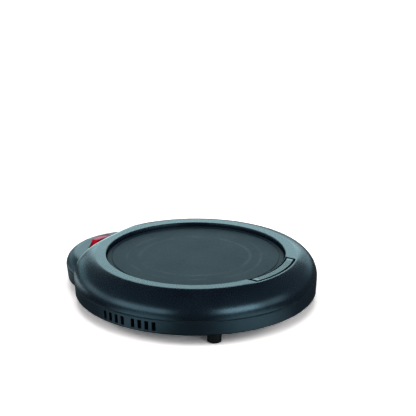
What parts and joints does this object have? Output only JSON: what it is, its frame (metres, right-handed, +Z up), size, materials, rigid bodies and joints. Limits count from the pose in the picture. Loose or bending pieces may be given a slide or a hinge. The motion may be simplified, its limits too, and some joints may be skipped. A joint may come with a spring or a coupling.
{
  "type": "electric mug warmer",
  "caption": "Round desktop mug warmer with a recessed heating plate, a rear pod with a red rocker switch, and stub feet.",
  "frame": {"origin": "on the table under the middle of the whole outline, at the bottom of the feet", "axes": "+Z up, out of the heating plate; -Y towards the front with the inlay strip; +Y towards the switch pod and the cord inlet; +X to the right seen from the front"},
  "size_m": [0.1297, 0.1419, 0.0268],
  "materials": {
    "upper_shell": "blue-black moulded plastic, semi-gloss",
    "lower_shell": "blue-black moulded plastic, a little duller than the top",
    "inlay": "dark plastic strip with a fine radial ribbing",
    "plate": "dark grey baked coating, satin",
    "silicone": "grey-brown silicone, matte",
    "mica": "mica sheet, silky",
    "track": "etched resistance foil",
    "insulation": "ceramic fibre felt",
    "zinc_steel": "zinc-plated steel",
    "fastener": "zinc-plated steel screws, nuts and washers",
    "phenolic": "dark phenolic moulding",
    "aluminium_cap": "drawn aluminium",
    "brass_blade": "bare brass",
    "fuse_metal": "tinned case",
    "shield": "bright rolled sheet",
    "red_lens": "translucent red, polished",
    "white_plastic": "natural nylon",
    "spring_steel": "bright spring wire",
    "contact": "copper alloy strip",
    "lamp_glass": "clear glass with an orange glow gas",
    "resistor": "lacquered body",
    "black_rubber": "black rubber, matte",
    "clamp_plastic": "black nylon",
    "sleeve_plastic": "red vinyl insulation",
    "tinned": "tinned copper tube",
    "dark_lead": "dark silicone insulation",
    "pale_lead": "white silicone insulation"
  },
  "bodies": {
    "housing": {"top_housing": "upper_shell", "base_housing": "lower_shell", "front_inlay": "inlay", "hot_plate": "plate", "plate_seal": "silicone", "upper_mica_sheet": "mica", "heating_track": "track", "lower_mica_sheet": "mica", "insulation_pad": "insulation", "clamp_plate": "zinc_steel", "clamp_washers": "fastener", "clamp_nuts": "fastener", "thermostat_case": "phenolic", "thermostat_cap": "aluminium_cap", "thermostat_terminals": "brass_blade", "thermostat_screws": "fastener", "thermal_fuse": "fuse_metal", "fuse_clip": "zinc_steel", "fuse_screw": "fastener", "heat_shield": "shield", "switch_case": "phenolic", "switch_terminals": "brass_blade", "switch_lamp": "lamp_glass", "lamp_resistor": "resistor", "switch_screws": "fastener", "cord_bush": "black_rubber", "cord_clamp": "clamp_plastic", "cord_clamp_screws": "fastener", "splice_caps": "white_plastic", "push_on_sleeves": "sleeve_plastic", "crimp_barrels": "tinned", "feed_lead": "dark_lead", "lamp_lead": "pale_lead", "thermostat_lead": "dark_lead", "element_lead": "dark_lead", "fuse_lead": "pale_lead", "neutral_lead": "pale_lead", "case_screws": "fastener", "front_left_foot": "black_rubber", "front_right_foot": "black_rubber", "rear_left_foot": "black_rubber", "rear_right_foot": "black_rubber"},
    "rocker": {"switch_rocker": "red_lens", "switch_plunger": "white_plastic", "plunger_spring": "spring_steel"},
    "contact_lever": {"contact_lever": "contact"}
  },
  "joints": [
    {"name": "rocker_hinge", "type": "hinge", "parent": "housing", "child": "rocker", "pos_m": [0, 0.0526, 0.0158], "axis": [0, 1, 0], "range_deg": [-12, 0]},
    {"name": "contact_lever_hinge", "type": "hinge", "parent": "housing", "child": "contact_lever", "pos_m": [0, 0.0526, 0.01155], "axis": [0, 1, 0], "range_deg": [0, 9]}
  ],
  "couplings": [
    {"joint": "contact_lever_hinge", "follows": "rocker_hinge", "ratio": -0.75}
  ]
}
